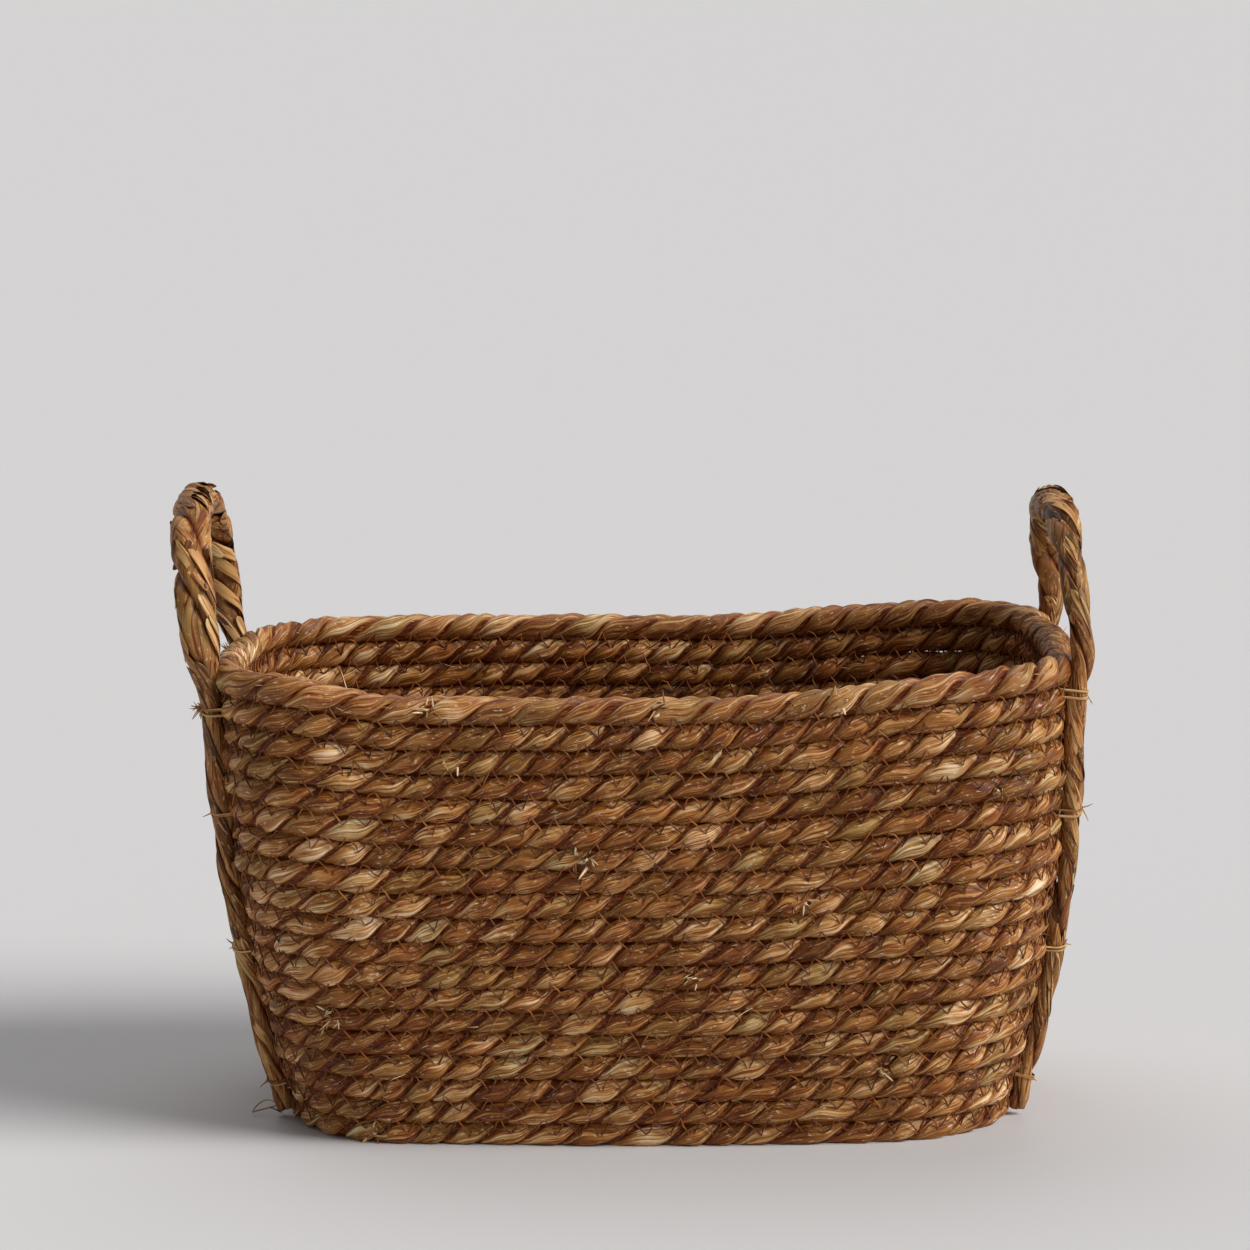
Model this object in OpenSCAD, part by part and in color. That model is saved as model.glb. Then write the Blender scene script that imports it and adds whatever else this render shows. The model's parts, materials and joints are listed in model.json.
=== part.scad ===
// Seagrass storage basket: one seagrass rope is coiled into a flat base, turned up into a
// wall of stacked courses and sewn turn to turn, with a rope handle tied to each end.
// Millimetres, +X along the basket, +Y across it, +Z up.
// The origin is on the floor, under the middle of the base.

/* [Basket] */
// Outside length over the rim
rim_length = 404; // [336:1:485]
// Outside depth over the rim
rim_depth = 251; // [209:1:302]
// Rope courses in the wall, the one on the floor and the rim included
courses = 19; // [15:1:23]
// How much further out the rim stands than the lowest course, on every side
flare = 23.8; // [12:0.2:32]
// Outside corner radius of the rim, in plan
rim_corner = 66; // [55:1:80]
// Outside corner radius of the lowest course, in plan
base_corner = 80; // [66:1:90]

/* [Rope] */
// Diameter of the coiled rope
rope_d = 11.1; // [9.2:0.1:13.3]
// Clearance between neighbouring turns of the coil
turn_gap = 0.15; // [0.05:0.05:0.5]
// How much the rope's underside is pressed flat against the floor
floor_flat = 0.3; // [0.1:0.1:1]
// Diameter of the sewing thread
thread_d = 0.8; // [0.5:0.1:1]

/* [Handles] */
// Diameter of the handle rope where it lies on the wall
leg_d = 9.6; // [8:0.1:11.5]
// Diameter of the handle rope in the free loop
loop_d = 12.6; // [10.5:0.1:15]
// Distance between a handle's legs at the rim, centre to centre
leg_spread = 160; // [134:1:180]
// Distance between a handle's legs at the floor, centre to centre
foot_spread = 76; // [64:1:91]
// Clearance between a leg and the wall
leg_gap = 1; // [0.8:0.1:3]
// Height of a leg's cut end above the floor
foot_lift = 3; // [1:0.5:8]
// Height of the line that a loop bends about, above the top of the rim
bend_lift = 4.6; // [4:0.1:10]
// Clearance between a leg's top end and the round end of the loop
bend_gap = 0.3; // [0.2:0.05:0.6]
// Height of the loop's top above the rim
loop_height = 86; // [80:1:103]
// Radius of the loop's two upper bends, on the rope's centre line
loop_bend = 60; // [48:1:64]
// Outward lean of a loop at rest, in degrees
loop_lean = 3; // [0:0.5:8]

/* [Ties] */
// Diameter of the raffia ties that hold the legs
tie_d = 1.2; // [0.8:0.1:1.6]
// Clearance round a tie, to the leg and in the groove
tie_gap = 0.15; // [0.1:0.05:0.3]
// Where the four ties of a leg sit, from the first groove (0) to the last but one (1)
tie_places = [0, 0.25, 0.625, 1]; // [0:0.125:1]

/* [Hidden] */
section_fn = 32;
sweep_fn = 96;
long_sweep_fn = 480;

rope_r = rope_d / 2;
pitch = rope_d + turn_gap;
thread_r = thread_d / 2;
leg_r = leg_d / 2;
loop_r = loop_d / 2;
tie_r = tie_d / 2;

// The wall's profile is an arc that stands upright at the rim.
wall_run = (courses - 1) * pitch;
wall_arc = wall_run * wall_run / (2 * flare);
course_step = 2 * asin(pitch / (2 * wall_arc));
first_z = rope_r - floor_flat;
rim_z = first_z + wall_arc * sin((courses - 1) * course_step);
rim_top = rim_z + rope_r;

// Courses are counted up from the floor, and a half lies in the groove between two courses.
function slope(i) = (courses - i) * course_step;
function course_z(i) = rim_z - wall_arc * sin(slope(i));
function inset(i) = wall_arc * (1 - cos(slope(i)));
function rise(i) = (i - 1) / (courses - 1);
function mix(a, b, t) = a + (b - a) * t;

// Places along the coil are kept to a hundredth of a millimetre, so that the straight and
// the bent stretches of a turn meet exactly.
function snap(v) = round(v * 100) / 100;

// A plan is a rounded rectangle on the rope's centre line, kept as
// [corner centre x, corner centre y, corner radius].
function plan_at(a, b, r) = [snap(a) - snap(r), snap(b) - snap(r), snap(r)];
function course_plan(i) =
    plan_at(
        rim_length / 2 - rope_r - inset(i),
        rim_depth / 2 - rope_r - inset(i),
        mix(base_corner, rim_corner, rise(i)) - rope_r
    );
function grown(plan, s) = [plan[0], plan[1], snap(plan[2] + s)];

// Base turns lie inside the lowest course, evenly spaced down to a hairpin on the middle line.
// The soft rope fills the room that a whole number of turns leaves it.
base_a = rim_length / 2 - rope_r - inset(1);
base_b = rim_depth / 2 - rope_r - inset(1);
base_turns = floor((base_b - pitch / 2) / pitch);
base_pitch = (base_b - pitch / 2) / base_turns;
base_rope_r = (base_pitch - turn_gap) / 2;
base_flat = course_plan(1)[1];
// Turns are counted in from the lowest course, and a half lies in the groove between two turns.
function turn_plan(k) =
    let (b = base_b - k * base_pitch)
    plan_at(base_a - k * base_pitch, b, b - base_flat * (1 - k / base_turns));

// A leg lies on the end wall, in a plane that leans with its feet drawn in. Along that plane
// its centre line is the arc through its places at the rim, halfway down and at the floor.
leg_y_top = leg_spread / 2;
leg_y_foot = foot_spread / 2;
leg_tilt = atan((leg_y_top - leg_y_foot) / (rim_z - first_z));
leg_off = rope_r + leg_gap + leg_r;
function leg_y(z) = leg_y_foot + (z - first_z) * tan(leg_tilt);
function leg_s(z) = (z - first_z) / cos(leg_tilt);
function x_on_plan(plan, y) =
    plan[0] + sqrt(pow(plan[2], 2) - pow(max(y - plan[1], 0), 2));
function leg_mark(i) =
    let (z = course_z(i))
    [x_on_plan(grown(course_plan(i), leg_off), leg_y(z)), leg_s(z)];
function circle_through(p, q, r) =
    let (
        d = 2 * (p[0] * (q[1] - r[1]) + q[0] * (r[1] - p[1]) + r[0] * (p[1] - q[1])),
        pp = p * p,
        qq = q * q,
        rr = r * r,
        x = (pp * (q[1] - r[1]) + qq * (r[1] - p[1]) + rr * (p[1] - q[1])) / d,
        s = (pp * (r[0] - q[0]) + qq * (p[0] - r[0]) + rr * (q[0] - p[0])) / d
    )
    [x, s, norm([p[0] - x, p[1] - s])];
leg_arc = circle_through(leg_mark(1), leg_mark((courses + 1) / 2), leg_mark(courses));
function leg_x(z) = leg_arc[0] + sqrt(pow(leg_arc[2], 2) - pow(leg_s(z) - leg_arc[1], 2));
function leg_angle(s) = asin((s - leg_arc[1]) / leg_arc[2]);

// A loop bends about the line through the tops of its two legs.
bend_z = rim_top + bend_lift;
bend_y = leg_y(bend_z);
bend_x = leg_x(bend_z);
loop_rise = loop_height - bend_lift - loop_r;

// A tie's two ends reach into a groove as far as the courses leave room for it.
tie_bow = (leg_r + tie_gap + tie_r) / cos(leg_tilt);
tie_room = (pitch - tie_d - 2 * tie_gap) / 2;
tie_reach = sqrt(rope_r * rope_r - tie_room * tie_room);
function tie_groove(k) = courses - round((courses - 3) * tie_places[k]) - 0.5;

// The sewing thread lies in the grooves, as far in as it fits.
function thread_place(spacing, r) = sqrt(r * r - pow((spacing - thread_d) / 2 - turn_gap, 2));
thread_out = thread_place(pitch, rope_r);
base_thread_out = thread_place(base_pitch, base_rope_r);

ENDS = ["left", "right"];
SIDES = ["front", "back"];
function two_digits(i) = str(i < 10 ? "0" : "", i);
function course_name(i) = str("wall_course_", two_digits(i));
function turn_name(k) = str("base_turn_", k);
function leg_name(e, s) = str(ENDS[e], "_handle_leg_", SIDES[s]);
function loop_name(e) = str(ENDS[e], "_handle_loop");
function tie_name(e, s, k) = str(ENDS[e], "_tie_", SIDES[s], "_", k + 1);

// A stretch of round rope that bends in the XY plane about the origin.
module bend(bend_r, r, start, angle, fn = sweep_fn) {
    rotate_extrude(start = start, angle = angle, $fn = fn)
        translate([bend_r, 0])
            circle(r, $fn = section_fn);
}

// A straight stretch of round rope from the origin along +X.
module straight(length, r) {
    rotate([0, 90, 0])
        cylinder(r = r, h = length, $fn = section_fn);
}

// A closed ring of round rope that follows a plan, with its centre line at z = 0.
// With no straight ends left, as in the innermost turn, each end is one half circle.
module ring(plan, r) {
    for (side = [-1, 1])
        translate([-plan[0], side * (plan[1] + plan[2]), 0])
            straight(2 * plan[0], r);
    if (plan[1] > 0) {
        for (side = [-1, 1])
            translate([side * (plan[0] + plan[2]), -plan[1], 0])
                rotate([0, 0, 90])
                    straight(2 * plan[1], r);
        for (quarter = [0 : 3])
            translate([(quarter % 3 == 0 ? 1 : -1) * plan[0], (quarter < 2 ? 1 : -1) * plan[1], 0])
                bend(plan[2], r, 90 * quarter, 90);
    } else {
        for (side = [-1, 1])
            translate([side * plan[0], 0, 0])
                bend(plan[2], r, -90 * side, 180);
    }
}

// Rope that lies on the floor, with its underside pressed flat.
module floor_ring(plan, r) {
    difference() {
        translate([0, 0, snap(r - floor_flat)])
            ring(plan, r);
        translate([-rim_length, -rim_depth, -rope_d])
            cube([2 * rim_length, 2 * rim_depth, rope_d]);
    }
}

module wall_course(i) {
    color("peru")
        if (i == 1)
            floor_ring(course_plan(i), rope_r);
        else
            translate([0, 0, snap(course_z(i))])
                ring(course_plan(i), rope_r);
}

module rim_course() {
    color("burlywood")
        translate([0, 0, snap(rim_z)])
            ring(course_plan(courses), rope_r);
}

module base_turn(k) {
    color("chocolate")
        floor_ring(turn_plan(k), base_rope_r);
}

module wall_stitching() {
    color("saddlebrown")
        for (i = [1.5 : courses - 0.5])
            translate([0, 0, snap(course_z(i) + thread_out * sin(slope(i)))])
                ring(grown(course_plan(i), -thread_out * cos(slope(i))), thread_r);
}

module base_stitching() {
    color("saddlebrown")
        for (k = [0.5 : base_turns - 0.5])
            translate([0, 0, snap(base_rope_r - floor_flat + base_thread_out)])
                ring(turn_plan(k), thread_r);
}

// The leg at +X and +Y.
module one_leg() {
    start = leg_angle(leg_s(foot_lift + leg_r * sin(leg_tilt)));
    stop = leg_angle(leg_s(bend_z) - loop_r - bend_gap);
    translate([0, leg_y_foot, first_z])
        rotate([90 - leg_tilt, 0, 0])
            translate([leg_arc[0], leg_arc[1], 0])
                bend(leg_arc[2], leg_r, start, stop - start, long_sweep_fn);
}

module at_corner(e, s) {
    mirror([1 - e, 0, 0])
        mirror([0, 1 - s, 0])
            children();
}

module handle_leg(e, s) {
    color("tan")
        at_corner(e, s)
            one_leg();
}

// A loop, upright, with its two round ends on the Y axis.
module upright_loop() {
    upright = loop_rise - loop_bend;
    top_half = bend_y - loop_bend;
    for (side = [-1, 1]) {
        translate([0, side * bend_y, 0]) {
            sphere(loop_r, $fn = section_fn);
            cylinder(r = loop_r, h = upright, $fn = section_fn);
        }
        translate([0, side * top_half, upright])
            rotate([90, 0, 90])
                bend(loop_bend, loop_r, side > 0 ? 0 : 90, 90);
    }
    translate([0, -top_half, loop_rise])
        rotate([0, 0, 90])
            straight(2 * top_half, loop_r);
}

module handle_loop(e) {
    color("wheat")
        at_corner(e, 1)
            translate([bend_x, 0, bend_z])
                rotate([0, loop_lean, 0])
                    upright_loop();
}

// A raffia tie: it goes round the outside of a leg, square to the wall, and both its ends go
// into the groove. A leaning wall puts the leg's near point a little below the groove.
module tie(e, s, k) {
    g = tie_groove(k);
    plan = course_plan(g);
    z = course_z(g) - leg_off * sin(slope(g)) * cos(slope(g));
    out_x = leg_x(z) - plan[0];
    out_y = max(leg_y(z) - plan[1], 0);
    reach = (norm([out_x, out_y]) - plan[2]) / cos(slope(g)) - tie_reach;
    color("palegoldenrod")
        at_corner(e, s)
            translate([leg_x(z), leg_y(z), z])
                rotate([0, slope(g), atan2(out_y, out_x)]) {
                    bend(tie_bow, tie_r, -90, 180);
                    for (side = [-1, 1])
                        translate([-reach, side * tie_bow, 0])
                            straight(reach, tie_r);
                }
}

for (i = [1 : courses - 1])
    wall_course(i);
rim_course();
for (k = [1 : base_turns])
    base_turn(k);
wall_stitching();
base_stitching();
for (e = [0, 1])
    for (s = [0, 1])
        handle_leg(e, s);
for (e = [0, 1])
    handle_loop(e);
for (e = [0, 1])
    for (s = [0, 1])
        for (k = [0 : 3])
            tie(e, s, k);
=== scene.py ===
import json
import math

import bpy
import numpy as np
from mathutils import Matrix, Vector


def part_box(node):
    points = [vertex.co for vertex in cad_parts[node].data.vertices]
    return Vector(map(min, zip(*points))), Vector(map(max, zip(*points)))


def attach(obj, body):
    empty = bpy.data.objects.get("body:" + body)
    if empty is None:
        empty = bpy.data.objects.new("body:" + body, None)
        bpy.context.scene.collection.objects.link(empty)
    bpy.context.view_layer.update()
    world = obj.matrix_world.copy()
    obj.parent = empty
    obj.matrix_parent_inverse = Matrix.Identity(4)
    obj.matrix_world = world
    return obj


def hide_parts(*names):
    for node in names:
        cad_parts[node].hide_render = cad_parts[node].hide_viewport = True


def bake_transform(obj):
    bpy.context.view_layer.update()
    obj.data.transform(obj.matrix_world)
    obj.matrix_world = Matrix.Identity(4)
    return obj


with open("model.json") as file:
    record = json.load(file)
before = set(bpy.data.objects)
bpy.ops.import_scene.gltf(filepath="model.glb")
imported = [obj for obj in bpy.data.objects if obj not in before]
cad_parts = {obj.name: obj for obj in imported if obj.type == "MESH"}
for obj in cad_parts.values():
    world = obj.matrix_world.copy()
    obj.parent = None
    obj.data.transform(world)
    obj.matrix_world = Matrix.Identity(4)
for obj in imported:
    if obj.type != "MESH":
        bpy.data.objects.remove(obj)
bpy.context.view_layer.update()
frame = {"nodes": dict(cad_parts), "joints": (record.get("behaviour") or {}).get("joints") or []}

random = np.random.default_rng(41)
TURN = 2 * math.pi

# ---------------------------------------------------------------- measures from the frame
def box(node):
    """The low and the high corner of a node of the frame."""
    low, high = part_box(node)
    return np.array(low), np.array(high)


COURSES = sorted(n for n in frame["nodes"] if n.startswith("wall_course_")) + ["rim_course"]
TURNS = sorted(n for n in frame["nodes"] if n.startswith("base_turn_"))
TOP = len(COURSES) - 1
ENDS = {"left": -1, "right": 1}
SIDES = {"front": -1, "back": 1}

COURSE_BOX = [box(n) for n in COURSES]
ROPE_R = (COURSE_BOX[TOP][1][2] - COURSE_BOX[TOP][0][2]) / 2
COURSE_A = [high[0] - ROPE_R for low, high in COURSE_BOX]
COURSE_B = [high[1] - ROPE_R for low, high in COURSE_BOX]
FLOOR_Z = COURSE_BOX[0][1][2] - ROPE_R
TALL = 1.021              # the soft courses stack a little higher than the frame's
COURSE_Z = [FLOOR_Z + (high[2] - ROPE_R - FLOOR_Z) * TALL for low, high in COURSE_BOX]
PITCH = COURSE_Z[TOP] - COURSE_Z[TOP - 1]

# ---------------------------------------------------------------- the shape of the basket
RIM_CORNER = 0.050        # corner radius of the rim, on the rope's centre line
FLOOR_CORNER = 0.066      # the same of the lowest course
SIDE_BOW = 0.0065         # how far the long sides bow out
END_BOW = 0.0035          # how far the ends bow out
TIGHT_CORNER = 0.0045     # how far the front left corner is pushed out
TIGHT_REACH = 0.038       # how far from the corner this reaches
RIGHT_LIFT = 0.0105       # how much the right end of the rim stands up
LEFT_LIFT = 0.0085        # how much the front left corner of the rim stands up
TUCK = 0.0075             # how much further in the foot of the left end stands
WANDER = 0.0006           # how far the courses wander up and down, and in and out
DIP = 0.0012              # how far the rim dips along the front, and rises along the back
CORNER_POINT = 0.3        # how far in from its box a corner's middle lies, as a share of its radius
SLIM = 0.002              # a base turn with less room than this between its corners has round ends

STRANDS = 2
LAY = 0.0355              # length of one full twist of the coiled rope
ROPE_STEP = 0.0013        # distance between the rings of a rope's mesh
SECTION = 24              # points round one strand
SNUG = 1.07               # how much thicker the soft rope is than the room it has
STRAND_OUT = 0.43         # a strand's centre, thickness and width, as shares of the rope's radius
STRAND_THICK = 0.60
STRAND_WIDE = 0.85
COUNTER = 0.62            # how far the fibres turn back within a strand, per length of rope
LIE = 0.30                # how much a strand lies along the rope where it crosses the wall's face
SQUEEZE = 0.12            # how much a strand is pressed in where it touches the next course
RIM_THICK = 1.06          # the rim's thickness against the other courses
RIM_RAISE = 0.0007        # how far the thicker rim stands up from its course's height
TWIST_SLIP = 0.95         # how far the whole twist wanders, in radians
STRAND_SLIP = 0.22        # how far each strand wanders by itself
ROPE_UNEVEN = 0.045       # how much a rope's thickness wanders, as a share
STRAND_UNEVEN = 0.09      # the same of a strand
CENTRE_UNEVEN = 0.10      # the same of the distance of a strand from the middle of the rope
RIDGES = ((3, 1, 0.04), (5, -2, 0.03), (9, 2, 0.028))      # waves round a strand, drift and height
CORE_SHADED_TONE, CORE_PAINTED_SHADE = 0.36, 0.22                         # the middle of a rope, seen only in the notches between strands: its lower tone and painted shade stand for the shadow there
UV_GAP = 0.03             # the gap at each side of a UV strip, as a share of it


def smooth(low, high, x):
    """An even step from 0 at low to 1 at high, which may also be the smaller of the two."""
    t = np.clip((x - low) / (high - low), 0, 1)
    return t * t * (3 - 2 * t)


def wandering(length, reach, closed=True):
    """A smooth random function of the distance along a rope, from -1 to 1, in steps of reach."""
    count = max(4, round(length / reach))
    knots = random.uniform(-1, 1, count + 1)
    if closed:
        knots[count] = knots[0]

    def at(s):
        place = np.clip(s / length, 0, 1) * count
        first = np.minimum(place.astype(int), count - 1)
        t = smooth(0, 1, place - first)
        return knots[first] * (1 - t) + knots[first + 1] * t
    return at


def round_end(a, b):
    """The first quarter of a long shape with a half circle at its end: points and normals."""
    angle = np.linspace(0, TURN / 4, 60)
    normal = np.stack([np.cos(angle), np.sin(angle)], 1)
    bend = normal * b + [a - b, 0]
    run = np.linspace(a - b, 0, 40)[1:]
    flat = np.stack([run, np.full(len(run), b)], 1)
    return np.concatenate([bend, flat]), np.concatenate([normal, np.tile([0, 1], (len(run), 1))])


def arc(centre, radius, start, stop):
    """Points and normals of an arc, between two angles."""
    angle = np.linspace(start, stop, 80)
    normal = np.stack([np.cos(angle), np.sin(angle)], 1)
    return centre + normal * radius, normal


def quarter_outline(a, b, corner, side_bow, end_bow):
    """The first quarter of a rounded rectangle whose sides bow out: points and normals.
    Inside it, the arcs of the end and of the side meet in the centre of the corner."""
    inner_a, inner_b = a - corner, b - corner
    if inner_b < SLIM:
        return round_end(a, b)
    end_r = inner_b ** 2 / (2 * end_bow)
    side_r = inner_a ** 2 / (2 * side_bow)
    end_centre = np.array([inner_a - end_r, 0.0])
    side_centre = np.array([0.0, inner_b - side_r])
    gap = np.linalg.norm(side_centre - end_centre)
    along = (end_r ** 2 - side_r ** 2 + gap ** 2) / (2 * gap)
    off = math.sqrt(end_r ** 2 - along ** 2)
    unit = (side_centre - end_centre) / gap
    square = np.array([-unit[1], unit[0]])
    meet = end_centre + along * unit + off * square
    if meet[0] < 0 or meet[1] < 0:
        meet = end_centre + along * unit - off * square
    start = math.atan2(meet[1], meet[0] - end_centre[0])
    stop = math.atan2(meet[1] - side_centre[1], meet[0])
    pieces = [
        arc(end_centre, end_r + corner, 0, start),
        arc(meet, corner, start, stop),
        arc(side_centre, side_r + corner, stop, TURN / 4),
    ]
    return np.concatenate([points for points, _ in pieces]), np.concatenate([n for _, n in pieces])


def outline(a, b, corner, side_bow, end_bow, tight, step):
    """A closed plan, counter-clockwise from the middle of the right end, evenly spaced: its
    points, outward normals, distances along it, and length. tight pushes the front left corner out."""
    points, normals = quarter_outline(a, b, corner, side_bow, end_bow)
    around, facing = [points], [normals]
    for sx, sy, order in ((-1, 1, -1), (-1, -1, 1), (1, -1, -1)):
        around.append((points * [sx, sy])[::order])
        facing.append((normals * [sx, sy])[::order])
    points, normals = np.concatenate(around), np.concatenate(facing)
    keep = np.append(np.linalg.norm(np.diff(points, axis=0), axis=1) > 1e-7, False)
    points, normals = points[keep], normals[keep]
    tight_at = [-(a - corner * CORNER_POINT), -(b - corner * CORNER_POINT)]
    distance = np.linalg.norm(points - tight_at, axis=1)
    points = points + normals * (tight * np.exp(-(distance / TIGHT_REACH) ** 2))[:, None]
    closed = np.vstack([points, points[:1]])
    run = np.concatenate([[0], np.cumsum(np.linalg.norm(np.diff(closed, axis=0), axis=1))])
    count = round(run[-1] / step)
    s = np.arange(count) * run[-1] / count
    facing = np.vstack([normals, normals[:1]])
    even = np.stack([np.interp(s, run, closed[:, i]) for i in (0, 1)], 1)
    out = np.stack([np.interp(s, run, facing[:, i]) for i in (0, 1)], 1)
    return even, out / np.linalg.norm(out, axis=1)[:, None], s, run[-1]


def at_level(values, level):
    """A value that is known for each course, at a level between two courses."""
    return float(np.interp(level, range(len(values)), values))


def raised(x, y, level):
    """How far the right end and the front left corner of the wall are pulled up."""
    rise = max(level / TOP, 0)
    right = RIGHT_LIFT * smooth(0.02, 0.19, x) * rise ** 1.4
    left = LEFT_LIFT * smooth(-0.112, -0.172, x) * smooth(0.07, -0.09, y) * rise ** 2.2
    return right + left


def lift(x, y, level):
    """How far a course stands above its even height."""
    rise = level / TOP
    wave = WANDER * np.sin(21 * x + 9 * y + 0.9 * level) * min(rise * 3, 1)
    dip = DIP * np.sin(13 * x - 1.1) * np.sign(-y) * rise ** 2
    return raised(x, y, level) + wave + dip + (RIM_RAISE if level == TOP else 0)


def tuck(plan, rise):
    """The lower courses moved in at the left end."""
    moved = plan.copy()
    moved[:, 0] += TUCK * (1 - rise) ** 0.8 * smooth(-0.05, -0.17, plan[:, 0])
    return moved


def course_line(level, step):
    """A course's centre line, its outward normals, distances and length, at any level."""
    rise = level / TOP
    corner = FLOOR_CORNER + (RIM_CORNER - FLOOR_CORNER) * rise
    a, b = at_level(COURSE_A, level), at_level(COURSE_B, level)
    plan, out, s, length = outline(a, b, corner, SIDE_BOW, END_BOW, TIGHT_CORNER, step)
    sway = WANDER * np.sin(17 * plan[:, 0] + 12 * plan[:, 1] + 1.7 * level)
    plan = tuck(plan + out * sway[:, None], min(max(rise, 0), 1))
    z = at_level(COURSE_Z, level) + lift(plan[:, 0], plan[:, 1], level)
    flat = np.zeros(len(s))
    return np.column_stack([plan, z]), np.column_stack([out, flat]), s, length


def turn_line(k, step):
    """The centre line of base turn k, counted inwards from 1."""
    low, high = box(TURNS[k - 1])
    a, b = high[0] - ROPE_R, high[1] - ROPE_R
    share = 1 - k / len(TURNS)
    corner = b - (COURSE_B[0] - FLOOR_CORNER) * share
    plan, out, s, length = outline(
        a, b, corner, SIDE_BOW * share + 1e-5, END_BOW * share + 1e-5, TIGHT_CORNER * share, step
    )
    plan = tuck(plan, 0)
    flat = np.zeros(len(s))
    return np.column_stack([plan, flat + COURSE_Z[0]]), np.column_stack([out, flat]), s, length


# ---------------------------------------------------------------- meshes from tubes
def tangents(path, closed):
    """The directions of a line at its points."""
    if closed:
        t = np.roll(path, -1, axis=0) - np.roll(path, 1, axis=0)
    else:
        t = np.gradient(path, axis=0)
    return t / np.linalg.norm(t, axis=1)[:, None]


def square_to(out, t):
    """out turned square to the line's direction t."""
    out = out - t * (out * t).sum(1)[:, None]
    return out / np.linalg.norm(out, axis=1)[:, None]


def tube(path, out, half_out, half_side, closed, sides, tone, fibre_start=0.0):
    """A tube with an oval section. tone is its blade tone along it, from 0 to 1. Its look also holds a
    painted shade mask, darker on the side away from out.
    """
    t = tangents(path, closed)
    out = square_to(out, t)
    side = np.cross(out, t)
    angle = -math.pi + TURN * np.arange(sides) / sides
    reach_out = np.outer(half_out, np.cos(angle))[:, :, None] * out[:, None, :]
    reach_side = np.outer(half_side, np.sin(angle))[:, :, None] * side[:, None, :]
    s = np.concatenate([[0], np.cumsum(np.linalg.norm(np.diff(path, axis=0), axis=1))])
    verts = path[:, None, :] + reach_out + reach_side
    shape = (len(path), sides)
    fibre = np.stack([
        np.broadcast_to(s[:, None] + fibre_start, shape),
        np.outer(half_side, np.sin(angle)),
        np.outer(half_out, np.cos(angle)),
    ], 2)
    look = np.stack([
        np.broadcast_to(np.reshape(tone, (-1, 1)), shape),
        np.full(shape, random.uniform()),
        # painted shade mask: darker on the side away from out
        np.broadcast_to((np.cos(angle) + 1) / 2, shape),
        np.ones(shape),
    ], 2)
    return {"verts": verts, "closed": closed, "fibre": fibre, "look": look}


def strip_uv(tubes):
    """One UV strip under another for all the tubes, with no overlap."""
    total = sum(len(t["verts"]) * t["verts"].shape[1] for t in tubes)
    per_row = max(8, round(math.sqrt(total)))
    rows = []
    for t in tubes:
        rings, sides = t["verts"].shape[:2]
        quads = rings if t["closed"] else rings - 1
        rows += [(sides, min(per_row, quads - first)) for first in range(0, quads, per_row)]
    height = sum(sides for sides, _ in rows)
    longest = max(count for _, count in rows)
    used, uv = 0, []
    for sides, count in rows:
        j, k = np.meshgrid(np.arange(count), np.arange(sides), indexing="ij")
        u = np.stack([j, j + 1, j + 1, j], 2) / longest
        v = np.stack([k, k, k + 1, k + 1], 2) / sides
        v = (used + (v * (1 - 2 * UV_GAP) + UV_GAP) * sides) / height
        uv.append(np.stack([u, v], 3).reshape(-1, 2))
        used += sides
    return np.concatenate(uv)


def joined(tubes, key):
    """One of the arrays of all the tubes, with a row for each point."""
    return np.concatenate([t[key].reshape(-1, t[key].shape[2]) for t in tubes])


def tube_faces(tubes):
    """The quads of all the tubes, and the end caps of the open ones, by the numbers of their points."""
    quads, caps, first = [], [], 0
    for t in tubes:
        rings, sides = t["verts"].shape[:2]
        count = rings if t["closed"] else rings - 1
        j, k = np.meshgrid(np.arange(count), np.arange(sides), indexing="ij")
        nj, nk = (j + 1) % rings, (k + 1) % sides
        quad = np.stack([j * sides + k, nj * sides + k, nj * sides + nk, j * sides + nk], 2)
        quads.append(quad.reshape(-1, 4) + first)
        if not t["closed"]:
            caps.append(np.arange(sides) + first)
            caps.append(np.arange(sides)[::-1] + first + count * sides)
        first += rings * sides
    return np.concatenate(quads), caps


def tube_mesh(name, tubes):
    """A mesh of all the tubes, with its fibre coordinates, tones with their painted shade masks, and UV
    strips.
    """
    quads, caps = tube_faces(tubes)
    corners = np.concatenate([quads.ravel(), *caps])
    sizes = np.array([4] * len(quads) + [len(c) for c in caps])
    points = joined(tubes, "verts")
    points[:, 2] = np.maximum(points[:, 2], 0.0)        # nothing reaches below the floor
    mesh = bpy.data.meshes.new(name)
    mesh.vertices.add(len(points))
    mesh.vertices.foreach_set("co", points.astype(np.float32).ravel())
    mesh.loops.add(len(corners))
    mesh.loops.foreach_set("vertex_index", corners.astype(np.int32))
    mesh.polygons.add(len(sizes))
    starts = np.concatenate([[0], np.cumsum(sizes)[:-1]])
    mesh.polygons.foreach_set("loop_start", starts.astype(np.int32))
    mesh.update(calc_edges=True)
    mesh.polygons.foreach_set("use_smooth", np.ones(len(sizes), bool))
    uv = strip_uv(tubes)
    uv = np.concatenate([uv, np.zeros((len(corners) - len(uv), 2))])
    mesh.uv_layers.new(name="OFBake").data.foreach_set("uv", uv.astype(np.float32).ravel())
    tones = mesh.attributes.new("tone", "FLOAT_COLOR", "POINT")
    tones.data.foreach_set("color", joined(tubes, "look").astype(np.float32).ravel())
    along = mesh.attributes.new("fibre", "FLOAT_VECTOR", "POINT")
    along.data.foreach_set("vector", joined(tubes, "fibre").astype(np.float32).ravel())
    return mesh


def mesh_object(name, tubes, material):
    """One object from tubes."""
    mesh = tube_mesh(name, tubes)
    mesh.materials.append(material)
    mesh.validate()
    made = bpy.data.objects.new(name, mesh)
    bpy.context.scene.collection.objects.link(made)
    return made


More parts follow.
